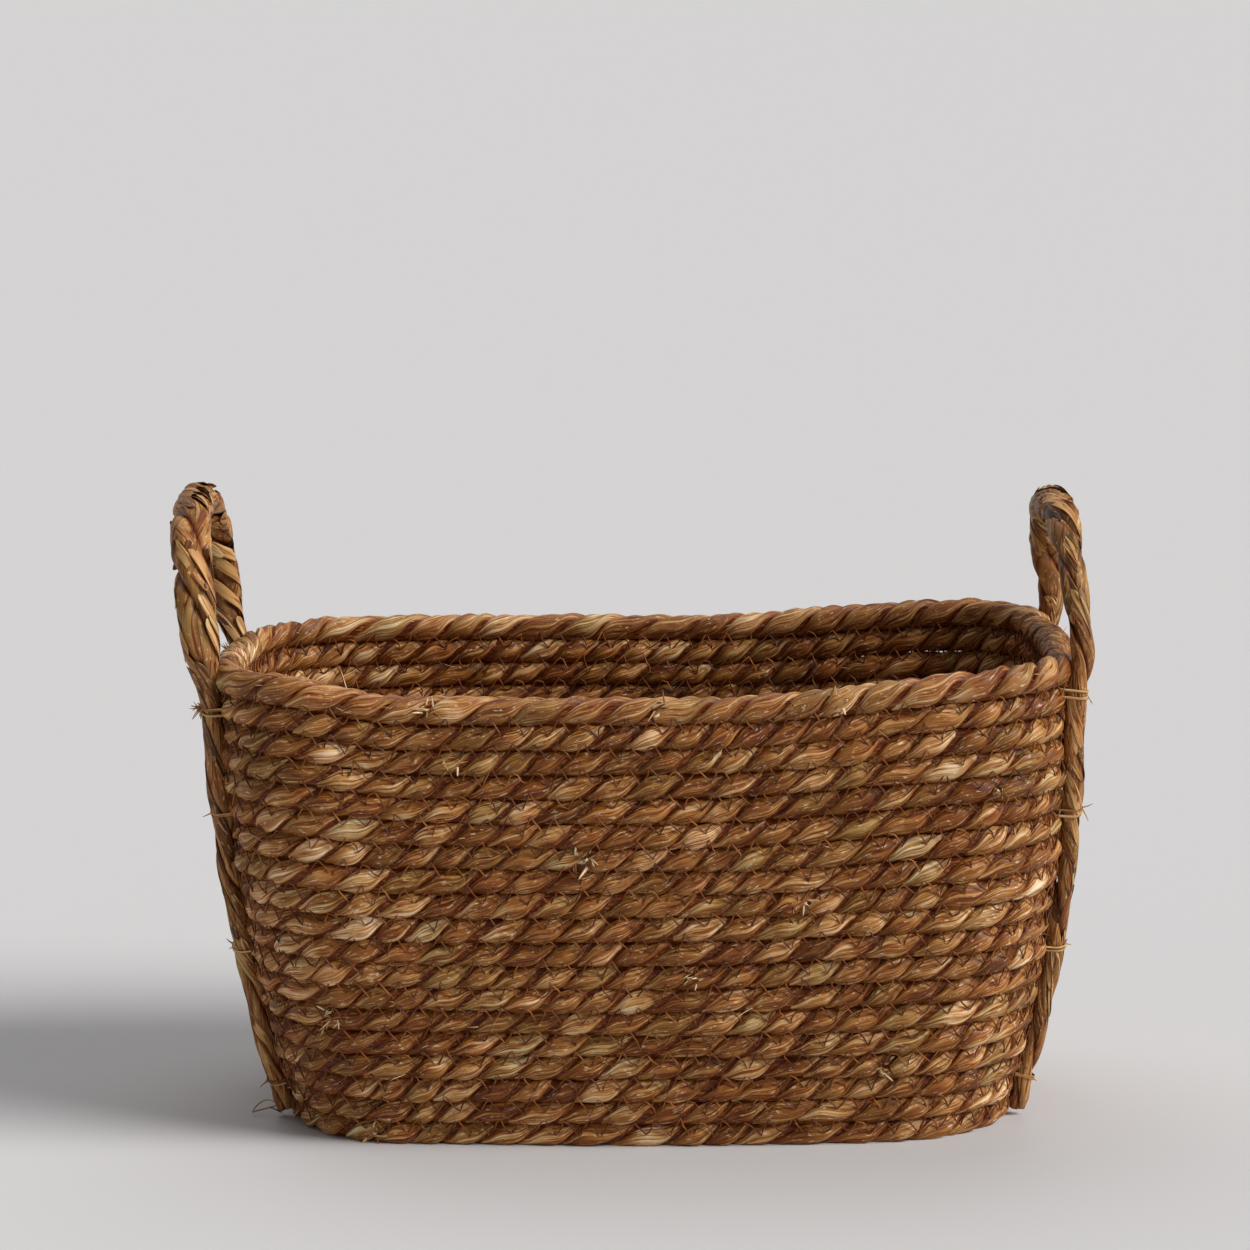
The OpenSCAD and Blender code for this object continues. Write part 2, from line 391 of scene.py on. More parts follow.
def strand_offset(angle, turn, frame_out, frame_up, centre, thick, wide, ridge):
    """The points of a strand's rings, from the rope's centre line."""
    away = np.cos(turn)[:, None] * frame_out + np.sin(turn)[:, None] * frame_up
    across = -np.sin(turn)[:, None] * frame_out + np.cos(turn)[:, None] * frame_up
    reach = (thick[:, None] * np.cos(angle) * ridge + centre[:, None])[:, :, None]
    width = (wide[:, None] * np.sin(angle) * ridge)[:, :, None]
    return reach * away[:, None, :] + width * across[:, None, :]


def strand_fibre(s, base, wide):
    """A strand's coordinates along and across its fibres."""
    shape = (len(s), len(base))
    start = random.uniform(0, 50)
    flat_wide = float(np.mean(wide))
    return np.stack([
        np.broadcast_to(s[:, None] + start, shape),
        np.broadcast_to(flat_wide * np.cos(base), shape),
        np.broadcast_to(flat_wide * np.sin(base), shape),
    ], 2)


def strand_look(wander, angle, turn):
    """How pale and how ruddy a strand is along it, and a painted shade mask: how far its points stand out of
    the grooves, lower where the strand turns in towards the next course.
    """
    blade = 0.45 + 0.16 * wander(0.018) + 0.08 * wander(0.15)
    blade = blade + 0.20 * np.clip(wander(0.018), 0, 1) ** 3
    hue = 0.5 + 0.5 * wander(0.026)
    return np.stack([
        np.broadcast_to(blade[:, None], angle.shape),
        np.broadcast_to(hue[:, None], angle.shape),
        # painted shade in the grooves between strands, darker still at the lobe tips that turn towards the
        # next course
        (np.cos(angle) + 1) / 2 * (0.80 + 0.20 * np.abs(np.cos(turn)))[:, None],
        np.ones(angle.shape),
    ], 2)


def twisted(path, out, s, length, radius, closed, lay, sides=SECTION, rough=1.0, oval=0.0):
    """A rope laid up from strands that wind round its centre line, each one a tube of its own.
    The fibres turn back the other way within a strand, so that they lie along the rope."""
    t = tangents(path, closed)
    out = square_to(out, t)
    up = np.cross(out, t)
    counter = COUNTER / (STRAND_WIDE * float(np.mean(radius)))
    twist = TURN / lay
    if closed:
        counter = TURN * round(counter * length / TURN) / length
        twist = TURN * round(twist * length / TURN) / length

    def wander(reach):
        return wandering(length, reach, closed)(s)
    base = -math.pi + TURN * np.arange(sides) / sides
    angle = base[None, :] - (counter * s)[:, None]
    slip = TWIST_SLIP * rough * wander(0.045)
    radius = radius * (1 + ROPE_UNEVEN * rough * wander(0.05))
    tubes = []
    for k in range(STRANDS):
        turn = twist * s + TURN * k / STRANDS + STRAND_SLIP * rough * wander(0.02) + slip
        turn = turn - LIE / 2 * np.sin(2 * turn)
        free = np.cos(2 * turn)
        swell = (1 + STRAND_UNEVEN * rough * wander(0.013)) * (1 + SQUEEZE * free)
        centre = radius * STRAND_OUT * (1 + CENTRE_UNEVEN * rough * wander(0.02))
        thick = radius * STRAND_THICK * swell
        wide = radius * STRAND_WIDE * swell * (1 - 0.5 * SQUEEZE * free)
        fold = 1.5 * wander(0.03)[:, None]
        ridge = 1
        for waves, drift, height in RIDGES:
            ridge = ridge + height * np.cos(waves * base + drift * fold)
        offset = strand_offset(angle, turn, out, up, centre, thick, wide, ridge)
        sideways = (offset * out[:, None, :]).sum(2)
        stretch = np.broadcast_to(oval, s.shape)[:, None] * sideways
        verts = path[:, None, :] + offset + stretch[:, :, None] * out[:, None, :]
        fibre = strand_fibre(s, base, wide)
        look = strand_look(wander, angle, turn)
        tubes.append({"verts": verts, "closed": closed, "fibre": fibre, "look": look})
    return tubes


def core(path, out, radius, closed, deep, high):
    """The middle of a rope, which closes the gaps between its strands, with painted shade that darkens it.
    deep and high are its sizes across the wall and up it, as shares of the rope's radius."""
    pick = slice(None, None, 3)
    high = np.broadcast_to(high, radius.shape)
    half_out, half_side = radius[pick] * deep, radius[pick] * high[pick]
    made = tube(path[pick], out[pick], half_out, half_side, closed, 10, CORE_SHADED_TONE)
    # painted shade over the whole core
    made["look"][:, :, 2] = CORE_PAINTED_SHADE
    return made


# ---------------------------------------------------------------- materials
def srgb(r, g, b):
    """A colour for a shader, from its values of 0 to 255 on a screen."""
    def linear(v):
        v = v / 255
        return v / 12.92 if v <= 0.04045 else ((v + 0.055) / 1.055) ** 2.4
    return (linear(r), linear(g), linear(b), 1)


def add(tree, kind, inputs=None, **settings):
    """A new shader node. inputs holds a value or another node's socket for each input."""
    node = tree.nodes.new(kind)
    for key, value in settings.items():
        setattr(node, key, value)
    for key, value in (inputs or {}).items():
        if isinstance(value, bpy.types.NodeSocket):
            tree.links.new(value, node.inputs[key])
        else:
            node.inputs[key].default_value = value
    return node


def maths(tree, operation, *values):
    return add(tree, "ShaderNodeMath", dict(enumerate(values)), operation=operation).outputs[0]


def mixed(tree, kind, amount, a, b):
    node = add(tree, "ShaderNodeMix", {0: amount, 6: a, 7: b}, data_type="RGBA", blend_type=kind)
    return node.outputs[2]


def noise(tree, fibre, along, across, detail):
    """Noise stretched along the fibres: along and across are the sizes of its marks, in metres."""
    scaled = add(
        tree, "ShaderNodeVectorMath", {0: fibre, 1: (1 / along, 1 / across, 1 / across)}, operation="MULTIPLY"
    )
    inputs = {"Vector": scaled.outputs[0], "Scale": 1.0, "Detail": detail, "Roughness": 0.55}
    return add(tree, "ShaderNodeTexNoise", inputs).outputs[0]


def spread(tree, value, amount):
    """Noise of 0 to 1 as a change of up to half the amount, up or down."""
    return maths(tree, "MULTIPLY", maths(tree, "SUBTRACT", value, 0.5), amount)


def ranged(tree, value, low, high, to_low, to_high):
    """value taken from the range low to high into the range to_low to to_high, and held in it."""
    inputs = {0: value, 1: low, 2: high, 3: to_low, 4: to_high}
    return add(tree, "ShaderNodeMapRange", inputs).outputs[0]


GROOVE_POWERS = (0.9, 1.8, 3.2)       # of red, green and blue: they make the painted shadows brown
GLOSS, GLOSS_RANGE = 0.40, 0.22       # the least roughness of the fibres, and how far it varies


def ramp_colour(tree, value, ramp):
    """The colour of a ramp of (place, colour) stops at a value."""
    colours = add(tree, "ShaderNodeValToRGB", {0: value})
    stops = colours.color_ramp.elements
    while len(stops) < len(ramp):
        stops.new(0.5)
    for stop, (place, colour) in zip(stops, ramp):
        stop.position, stop.color = place, srgb(*colour)
    return colours.outputs[0]


def grass_colour(tree, fibre, pale, hue, marks, ramp, ruddy, olive):
    """Blades of many tones with pale flecks, ruddy along some lengths and olive along others."""
    value = pale
    for mark, amount in marks:
        value = maths(tree, "ADD", value, spread(tree, mark, amount))
    colour = ramp_colour(tree, value, ramp)
    fleck = ranged(tree, noise(tree, fibre, 0.0032, 0.0011, 2), 0.60, 0.70, 0.0, 0.60)
    colour = mixed(tree, "MIX", fleck, colour, srgb(*ramp[-1][1]))
    red = ranged(tree, hue, 0.60, 0.95, 0.0, 0.35)
    grey = ranged(tree, hue, 0.40, 0.12, 0.0, 0.55)
    colour = mixed(tree, "MULTIPLY", red, colour, srgb(*ruddy))
    return mixed(tree, "MULTIPLY", grey, colour, srgb(*olive))


def painted_groove_shade(tree, shade_mask, blade, depth):
    """Painted shadow in the grooves between strands and in the splits between blades, as a colour to multiply
    by.
    """
    shade = ranged(tree, shade_mask, 0.13, 0.34, depth, 1.0)
    split = ranged(tree, maths(tree, "ABSOLUTE", spread(tree, blade, 1)), 0.0, 0.045, 0.35, 1.0)
    shade = maths(tree, "MULTIPLY", shade, split)
    tint = {i: maths(tree, "POWER", shade, power) for i, power in enumerate(GROOVE_POWERS)}
    return add(tree, "ShaderNodeCombineColor", tint).outputs[0]


def plant_material(name, ramp, ruddy, olive, blade_width, depth=0.22, contrast=1.0):
    """Dried grass: blades of many tones with fine fibres along them, and painted shade in the grooves, down
    to depth.
    """
    material = bpy.data.materials.new(name)
    material.use_nodes = True
    tree = material.node_tree
    tree.nodes.clear()
    fibre = add(tree, "ShaderNodeAttribute", attribute_name="fibre").outputs["Vector"]
    tone = add(tree, "ShaderNodeAttribute", attribute_name="tone").outputs["Color"]
    pale, hue, shade_mask = add(tree, "ShaderNodeSeparateColor", {0: tone}).outputs[:3]
    fine = noise(tree, fibre, 0.020, 0.00075, 3)
    blade = noise(tree, fibre, 0.045, blade_width, 1)
    stain = noise(tree, fibre, 0.011, 0.004, 3)
    marks = ((blade, 0.65 * contrast), (fine, 0.75 * contrast), (stain, 0.55 * contrast))
    colour = grass_colour(tree, fibre, pale, hue, marks, ramp, ruddy, olive)
    # painted shade of the grooves and splits, multiplied into the colour
    colour = mixed(tree, "MULTIPLY", 1.0, colour, painted_groove_shade(tree, shade_mask, blade, depth))
    height = maths(tree, "ADD", maths(tree, "MULTIPLY", fine, 0.45), blade)
    bump = add(tree, "ShaderNodeBump", {"Strength": 0.75, "Distance": 0.0007, "Height": height})
    shader = add(tree, "ShaderNodeBsdfPrincipled", {
        "Base Color": colour,
        "Roughness": ranged(tree, fine, 0.3, 0.7, GLOSS, GLOSS + GLOSS_RANGE),
        "Specular IOR Level": 0.30,
        "Normal": bump.outputs[0],
    })
    add(tree, "ShaderNodeOutputMaterial", {0: shader.outputs[0]})
    return material


ROPE_RAMP = (
    (0.00, (62, 18, 1)), (0.22, (112, 56, 10)), (0.45, (154, 99, 38)),
    (0.64, (200, 152, 94)), (0.88, (248, 224, 188)),
)
RIM_RAMP = (
    (0.00, (64, 24, 5)), (0.22, (114, 62, 20)), (0.45, (156, 104, 50)),
    (0.64, (198, 154, 98)), (0.88, (246, 222, 186)),
)
HANDLE_RAMP = (
    (0.00, (56, 26, 8)), (0.22, (112, 66, 26)), (0.45, (156, 106, 54)),
    (0.68, (190, 144, 88)), (0.95, (228, 194, 144)),
)
TIE_RAMP = (
    (0.00, (110, 70, 32)), (0.30, (152, 106, 58)), (0.55, (180, 136, 82)),
    (0.75, (200, 160, 106)), (0.95, (224, 194, 146)),
)
THREAD_RAMP = (
    (0.00, (70, 30, 6)), (0.30, (104, 52, 14)), (0.55, (134, 76, 28)),
    (0.75, (160, 98, 44)), (0.95, (184, 126, 68)),
)
RUDDY, OLIVE = (242, 202, 166), (208, 226, 206)
ROPE = plant_material("dried_seagrass", ROPE_RAMP, RUDDY, OLIVE, 0.0019)
RIM = plant_material("pale_seagrass", RIM_RAMP, (240, 190, 150), OLIVE, 0.0019)
HANDLE = plant_material("broad_seagrass", HANDLE_RAMP, (240, 200, 160), OLIVE, 0.0030, contrast=0.75)
TIE = plant_material("raffia", TIE_RAMP, (244, 220, 190), OLIVE, 0.0012, depth=0.6, contrast=0.7)
THREAD = plant_material("brown_thread", THREAD_RAMP, (240, 200, 180), (220, 215, 205), 0.0006, depth=0.7)


# ---------------------------------------------------------------- the coiled body
def rope_radius(path, level):
    """Courses are thicker where the wall is pulled up."""
    x, y = path[:, 0], path[:, 1]
    opened = (raised(x, y, level + 0.5) - raised(x, y, level - 0.5)) / PITCH
    return ROPE_R * SNUG * (RIM_THICK if level == TOP else 1) * (1 + opened)


def wall_core(path, out, radius, level, s, length):
    """The core of a course. It closes the wall, but for a few slits of light at the top right."""
    if level == TOP:
        return core(path - [0, 0, 0.22 * ROPE_R], out, radius, True, 0.62, 0.90)
    right = smooth(0.06, 0.11, path[:, 0]) * smooth(0.0, 0.05, path[:, 1]) * (level > TOP - 6)
    open_at = smooth(0.1, 0.5, wandering(length, 0.016)(s))
    return core(path, out, radius, True, 0.62, 1.07 - 0.16 * right * open_at)


def build_courses():
    for level, node in enumerate(COURSES):
        path, out, s, length = course_line(level, ROPE_STEP)
        radius = rope_radius(path, level)
        lay = LAY * (1.12 if level == TOP else random.uniform(0.93, 1.10))
        rope = twisted(path, out, s, length, radius, True, lay)
        rope.append(wall_core(path, out, radius, level, s, length))
        material, slot = (RIM, "rim_rope") if level == TOP else (ROPE, "seagrass_rope")
        made = mesh_object(f"rope_{node}", rope, material)
        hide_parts(node)
        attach(made, "basket")


def build_base():
    for k, node in enumerate(TURNS, 1):
        path, out, s, length = turn_line(k, ROPE_STEP * 1.4)
        radius = np.full(len(s), ROPE_R * SNUG)
        rope = twisted(path, out, s, length, radius, True, LAY, sides=12)
        rope.append(core(path, out, radius, True, 0.97, 0.6))
        made = mesh_object(f"rope_{node}", rope, ROPE)
        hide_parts(node)
        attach(made, "basket")


STITCH = 0.0105           # length of one V of the sewing
STITCH_HALF = 0.0046      # how far a V reaches from its groove
THREAD_R = 0.00042
GROOVE_STEP = 0.004       # distance between the points of a groove's line
# the points of one V, as shares of its length and of its reach
V_STEPS = ((0.0, 1.0), (0.2, 0.34), (0.4, -0.34), (0.6, -1.0), (0.73, -0.34), (0.87, 0.34))


def zigzag(path, out, up, s, length, side):
    """The sewing thread along one groove, over the outside (side 1) or the inside (side -1)."""
    count = round(length / STITCH)
    steps = np.array([
        [v + random.uniform(-0.16, 0.16) * (abs(h) == 1), h * random.uniform(0.45, 1.25)]
        for _ in range(count) for v, h in V_STEPS
    ])
    place = (np.repeat(np.arange(count), len(V_STEPS)) + steps[:, 0]) * length / count % length
    high = np.clip(steps[:, 1], -1.15, 1.15)

    def along(values):
        ends = np.vstack([values, values[:1]])
        return np.stack([np.interp(place, np.append(s, length), ends[:, i]) for i in range(3)], 1)
    out, up = along(out), along(up)
    into_rope = 0.12 * (np.abs(high) > 0.9)
    depth = ROPE_R * SNUG * (1.02 + 0.09 * high ** 2 - into_rope)
    line = along(path) + side * out * depth[:, None] + up * (high * STITCH_HALF)[:, None]
    ones = np.full(len(line), THREAD_R)
    tone = 0.40 + 0.3 * random.uniform(-1, 1, len(line))
    return tube(line, out * side, ones, ones, True, 5, tone, random.uniform(0, 50))


def build_stitching():
    outside, inside = [], []
    for level in np.arange(0.5, TOP):
        path, out, s, length = course_line(level, GROOVE_STEP)
        run = at_level(COURSE_A, level + 0.5) - at_level(COURSE_A, level - 0.5)
        lean = math.asin(run / PITCH)
        up = np.zeros_like(out) + [0, 0, math.cos(lean)] + out * math.sin(lean)
        face = out * math.cos(lean) - [0, 0, math.sin(lean)]
        outside.append(zigzag(path, face, up, s, length, 1))
        inside.append(zigzag(path, face, up, s, length, -1))
    made = mesh_object("thread_wall_outside", outside, THREAD)
    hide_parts("wall_stitching")
    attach(made, "basket")
    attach(mesh_object("thread_wall_inside", inside, THREAD), "basket")


def build_base_stitching():
    threads = []
    for k in range(len(TURNS)):
        inner, out, s, length = turn_line(k + 1, GROOVE_STEP)
        groove = inner + out * PITCH / 2
        up = np.zeros_like(out) + [0, 0, 1]
        threads.append(zigzag(groove, up, out, s, length, 1))
    made = mesh_object("thread_base", threads, THREAD)
    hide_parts("base_stitching")
    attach(made, "basket")


# ---------------------------------------------------------------- handles
LEG_R = 0.0044
LOOP_R = {"left": (0.0066, 0.0066), "right": (0.0046, 0.0064)}     # of its front and back halves
LOOP_TOP_R = 0.0064
LOOP_OVAL = 0.32          # how much wider a loop's rope is across the wall than along it
GROWTH = {"left": 0.026, "right": 0.048}        # height over which a leg grows to its loop's thickness
LOOP_DROP = {"left": 0.0022, "right": 0.0042}   # how far a loop's top hangs below the frame's
LEAN = {"left": 0.085, "right": -0.150}         # how much more a loop leans to its side than the frame's
LOOP_CORNER = 0.058       # radius of the loop's upper corners
HANDLE_LAY = 0.066        # length of one full twist of a handle rope
SMOOTHING = 0.012         # length over which the bends of a handle's line are rounded
TIP_STAND = 0.32          # how far the tips of the blades stand off the handle rope
BLADES = 130


def wall_point(level, end, y):
    """The point on the wall's centre line at one end, at y, and its outward normal there."""
    path, out, s, length = course_line(level, 0.003)
    near = (np.sign(path[:, 0]) == end) & (np.sign(path[:, 1]) == np.sign(y))
    path, out = path[near], out[near]
    best = np.argmin(np.abs(path[:, 1] - y))
    return path[best], out[best]


def leg_line(end_name, side_name):
    """A leg's centre line, from its foot up to the rim."""
    end, side = ENDS[end_name], SIDES[side_name]
    low, high = box(f"{end_name}_handle_leg_{side_name}")
    across = sorted([abs(low[1]), abs(high[1])])
    foot_y, top_y = across[0] + LEG_R, across[1] - LEG_R
    points = []
    for level in np.arange(0, TOP + 0.1, 1.0):
        z = at_level(COURSE_Z, level)
        share = (z - low[2]) / (high[2] - low[2])
        place, out = wall_point(level, end, side * (foot_y + (top_y - foot_y) * share))
        points.append(place + out * (ROPE_R * SNUG + LEG_R * 0.80))
    points = np.array(points)
    points[:, 2] = COURSE_Z           # a leg isn't pulled up with the ends of the rim
    foot = points[0] + (points[0] - points[1]) * 0.12
    return np.vstack([foot, points])


def loop_line(end_name):
    """A loop's centre line, from the top of the front leg to the top of the back one."""
    end = ENDS[end_name]
    low, high = box(f"{end_name}_handle_loop")
    joint = next(j for j in frame["joints"] if j["child"] == f"{end_name}_loop")
    bend_x, bend_z = joint["pos_m"][0], joint["pos_m"][2]
    half, top = high[1] - LOOP_TOP_R, high[2] - LOOP_TOP_R - LOOP_DROP[end_name]
    angle = np.linspace(math.pi, 0, 60)
    corner_y, corner_z = half - LOOP_CORNER, top - LOOP_CORNER
    y = np.cos(angle) * LOOP_CORNER + np.where(angle > math.pi / 2, -corner_y, corner_y)
    z = np.sin(angle) * LOOP_CORNER + corner_z - 0.001 * np.sin(3 * angle)
    middle = (low[0] + high[0]) / 2
    lean = 2 * (middle - bend_x) / (high[2] - bend_z) + end * LEAN[end_name]
    x = bend_x + (z - bend_z) * lean
    return np.column_stack([x, y, z])


def resample(points, step):
    """A smooth line through the points, evenly spaced, with its distances and length."""
    run = np.concatenate([[0], np.cumsum(np.linalg.norm(np.diff(points, axis=0), axis=1))])
    s = np.linspace(0, run[-1], round(run[-1] / step))
    line = np.stack([np.interp(s, run, points[:, i]) for i in range(3)], 1)
    width = max(3, round(SMOOTHING / step) | 1)
    kernel = np.hanning(width + 2)[1:-1]
    padded = np.pad(line, ((width // 2, width // 2), (0, 0)), mode="reflect", reflect_type="odd")
    line = np.stack([np.convolve(padded[:, i], kernel / kernel.sum(), "valid") for i in range(3)], 1)
    return line, s, run[-1]


def handle_line(end_name):
    """A handle's centre line: up the front leg, round the loop and down the back leg."""
    front, back = leg_line(end_name, "front"), leg_line(end_name, "back")
    points = np.vstack([front, loop_line(end_name), back[::-1]])
    return resample(points, ROPE_STEP)


def blades(path, out, s, radius):
    """Broad flat blades of grass wound over a handle rope, with their pointed tips standing off."""
    t = tangents(path, False)
    out = square_to(out, t)
    up = np.cross(out, t)
    grown = smooth(LEG_R, LOOP_TOP_R, radius)
    ribbons = []
    for _ in range(BLADES):
        points = int(random.integers(20, 40))
        first = int(random.integers(2, len(s) - points - 2))
        run = slice(first, first + points)
        share = np.linspace(-1, 1, points)
        turn = random.uniform(0, TURN) + TURN / random.uniform(0.060, 0.120) * (s[run] - s[first])
        face = np.cos(turn)[:, None] * out[run] + np.sin(turn)[:, None] * up[run]
        sideways = LOOP_OVAL * np.abs((face * out[run]).sum(1)) * grown[run]
        tips = TIP_STAND * (radius[run] - 0.7 * LEG_R) * np.abs(share) ** 5
        stand = radius[run] * (random.uniform(0.92, 1.06) + sideways) + tips
        line = path[run] + face * stand[:, None]
        pointed = np.sqrt(np.clip(1.03 - np.abs(share) ** 4, 0, 1))
        width = radius[run] * random.uniform(0.34, 0.62) * pointed
        tone = random.uniform(0.15, 0.85) + 0.08 * share
        ribbon = tube(line, face, 0.07 * width, width, False, 8, tone, random.uniform(0, 50))
        # a lighter painted shade on the blades' undersides, which face the rope
        ribbon["look"][:, :, 2] = 0.35 + 0.65 * ribbon["look"][:, :, 2]
        ribbons.append(ribbon)
    return ribbons


def handle_radius(end_name, path, s, length):
    """A handle rope's radius along it, and how far it has grown from its legs into its loop."""
    rim_top = COURSE_Z[TOP] + ROPE_R
    grown = smooth(rim_top - 0.010, rim_top + GROWTH[end_name], path[:, 2])
    ends = 0.82 + 0.18 * smooth(0, 0.006, np.minimum(s, length - s))
    front, back = LOOP_R[end_name]
    loop_r = front + (back - front) * smooth(-0.02, 0.02, path[:, 1])
    crest = smooth(rim_top + 0.055, rim_top + 0.080, path[:, 2])
    loop_r = loop_r + (LOOP_TOP_R - loop_r) * crest
    return (LEG_R + (loop_r - LEG_R) * grown) * ends, grown


def build_handles():
    """Both handle ropes. Returns their centre lines, for the ties."""
    lines = {}
    for end_name, end in ENDS.items():
        path, s, length = handle_line(end_name)
        lines[end_name] = path
        out = np.tile([float(end), 0, 0], (len(path), 1))
        radius, grown = handle_radius(end_name, path, s, length)
        rope = twisted(path, out, s, length, radius, False, HANDLE_LAY, 20, 0.9, LOOP_OVAL * grown)
        rope.append(core(path, out, radius, False, 0.6, 0.6))
        rope += blades(path, out, s, radius)
        made = mesh_object(f"{end_name}_handle_rope", rope, HANDLE)
        legs = [f"{end_name}_handle_leg_{side}" for side in SIDES]
        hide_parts(f"{end_name}_handle_loop", *legs)
        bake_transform(made)
    return lines


# ---------------------------------------------------------------- ties
TIE_WIDE, TIE_THICK = 0.0006, 0.00030           # half the width and half the thickness of raffia
TIE_PITCH = 0.0015        # distance between the turns of a tie
TIE_RAISE = {"left": 0.006, "right": 0.012}     # how far the top ties stand above the frame's
FRAYED = 14               # loose ends of the two top ties at the left; the others have 2


def curl(start, direction, normal, length, bend, radius, tone, flat=1.0):
    """A short tapering fibre that starts at a point and curls towards the normal."""
    t = np.linspace(0, 1, 9)
    direction = direction / np.linalg.norm(direction)
    line = start + direction * (t * length)[:, None] + normal * (bend * length * t ** 2)[:, None]
    taper = radius * np.sqrt(np.clip(1.02 - t, 0, 1))
    side = np.cross(direction, normal) + 1e-6
    facing = np.tile(np.cross(side, direction), (len(t), 1))
    tones = np.full(len(t), tone)
    return tube(line, facing, taper, taper * flat, False, 4, tones, random.uniform(0, 50))


def tie_wraps(centre, axis, outward, depth, turns):
    """Raffia wound round a leg: each turn goes round its outside and back into the wall."""
    along = np.cross(outward, axis)
    wraps = []
    for n in range(turns):
        shift = (n - (turns - 1) / 2) * TIE_PITCH + random.uniform(-0.0003, 0.0003)
        tilt = random.uniform(-0.0012, 0.0012)
        bow = LEG_R * 1.02 + TIE_THICK + random.uniform(0, 0.0003)
        angle = np.linspace(-math.pi / 2, math.pi / 2, 15)
        inward = np.linspace(depth, 0.001, 5)
        a = np.concatenate([-inward, bow * np.cos(angle), -inward[::-1]])
        b = np.concatenate([np.full(5, -bow), bow * np.sin(angle), np.full(5, bow)])
        b[0], b[-1] = b[0] * 0.6, b[-1] * 0.6
        c = shift + tilt * b / bow
        line = centre + np.outer(a, outward) + np.outer(b, along) + np.outer(c, axis)
        facing = np.outer(np.clip(a, 0, None) + 1e-4, outward) + np.outer(b, along)
        thick = np.full(len(a), TIE_THICK)
        wide = np.full(len(a), TIE_WIDE) * random.uniform(0.8, 1.15)
        tone = np.full(len(a), random.uniform(0.35, 0.85))
        wraps.append(tube(line, facing, thick, wide, False, 8, tone, random.uniform(0, 50)))
    return wraps


def tie_place(line, height, end):
    """Where a tie goes round a leg: its centre, the leg's direction, and the way outwards."""
    best = np.argmin(np.abs(line[:, 2] - height))
    best = min(max(best, 2), len(line) - 3)
    axis = line[best + 2] - line[best - 2]
    axis = axis / np.linalg.norm(axis) * np.sign(axis[2])
    outward = np.array([float(end), 0.0, 0.0])
    outward = outward - axis * outward.dot(axis)
    return line[best], axis, outward / np.linalg.norm(outward)


def whisker(centre, axis, outward):
    """A loose end of a tie."""
    start = centre + outward * LEG_R + np.cross(outward, axis) * random.uniform(-0.003, 0.003)
    aim = random.normal(0, 0.7, 3) + outward * 0.9 - [0, 0.3, 0.3]
    length, bend = random.uniform(0.0025, 0.0060), random.uniform(-0.9, 0.6)
    return curl(start, aim, axis, length, bend, 0.0004, random.uniform(0.1, 0.9), flat=2.0)


def build_ties(lines):
    for end_name, end in ENDS.items():
        for side_name, side in SIDES.items():
            line = lines[end_name]
            line = line[np.sign(line[:, 1]) == side]
            line = line[line[:, 2] < COURSE_Z[TOP] + 2 * ROPE_R]
            for n in range(1, 5):
                node = f"{end_name}_tie_{side_name}_{n}"
                low, high = box(node)
                height = (low[2] + high[2]) / 2 + (TIE_RAISE[end_name] if n == 1 else 0)
                centre, axis, outward = tie_place(line, height, end)
                pieces = tie_wraps(centre, axis, outward, LEG_R + ROPE_R, 3 if n == 1 else 2)
                loose_ends = FRAYED if n == 1 and end_name == "left" else 2
                pieces += [whisker(centre, axis, outward) for _ in range(loose_ends)]
                made = mesh_object(f"raffia_{node}", pieces, TIE)
                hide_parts(node)
                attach(made, "basket")


# ---------------------------------------------------------------- stray fibres and splices
RIM_SPLICES = (-0.101, 0.005, 0.070, 0.086)            # places along the front of the rim
WALL_SPLICES = (                                       # courses and places along the front
    (10, 0.070), (14, 0.160), (5, -0.145), (12, -0.030),
    (7, 0.020), (16, -0.090), (3, 0.110), (0, -0.125),
)
STRAYS = 480
UP = np.array([0, 0, 1.0])


def on_course(level, step):
    """The points of a course's centre line, with the outward and the forward directions."""
    path, out, s, length = course_line(level, step)
    return path, out, tangents(path, True)


def stray(path, out, forward):
    """A loose end of fibre somewhere along a course."""
    at = int(random.integers(0, len(path)))
    along = forward[at] * random.choice([-1, 1])
    tilt = random.uniform(-0.8, 0.9)
    normal = out[at] * random.choice([1, 1, -1]) * math.cos(tilt) + UP * math.sin(tilt)
    start = path[at] + normal * ROPE_R * 0.98
    aim = along + normal * random.uniform(0.05, 0.6) + UP * random.uniform(-0.5, 0.5)
    length, bend = random.uniform(0.003, 0.011), random.uniform(-0.5, 0.4)
    radius, tone = random.uniform(0.0001, 0.00028), random.uniform(0.3, 1.0)
    return curl(start, aim, normal, length, bend, radius, tone)


def build_strays():
    """Loose ends of fibre all over the basket, and more of them on the rim."""
    lines = [on_course(level, 0.004) for level in range(TOP + 1)]
    strays = []
    for _ in range(STRAYS):
        level = int(random.integers(0, TOP + 1)) if random.uniform() < 0.85 else TOP
        strays.append(stray(*lines[level]))
    return strays


def tuft(level, x, count):
    """The frayed end of a length of grass, on the front of the wall."""
    path, out, forward = on_course(level, 0.002)
    front = path[:, 1] < 0
    at = np.flatnonzero(front)[np.argmin(np.abs(path[front, 0] - x))]
    pieces = []
    for _ in range(count):
        tilt = random.uniform(-0.5, 1.2 if level == TOP else 0.6)
        normal = out[at] * math.cos(tilt) + UP * math.sin(tilt)
        start = path[at] + normal * ROPE_R * 0.95 + forward[at] * random.uniform(-0.004, 0.004)
        aim = forward[at] * random.uniform(-1, 1.2) + normal * random.uniform(0.1, 0.8)
        aim = aim + UP * random.uniform(-0.8, 0.5)
        length, bend = random.uniform(0.003, 0.008), random.uniform(-0.7, 0.5)
        radius, tone = random.uniform(0.00015, 0.0005), random.uniform(0.2, 1.0)
        pieces.append(curl(start, aim, normal, length, bend, radius, tone, flat=random.uniform(1, 3)))
    return pieces


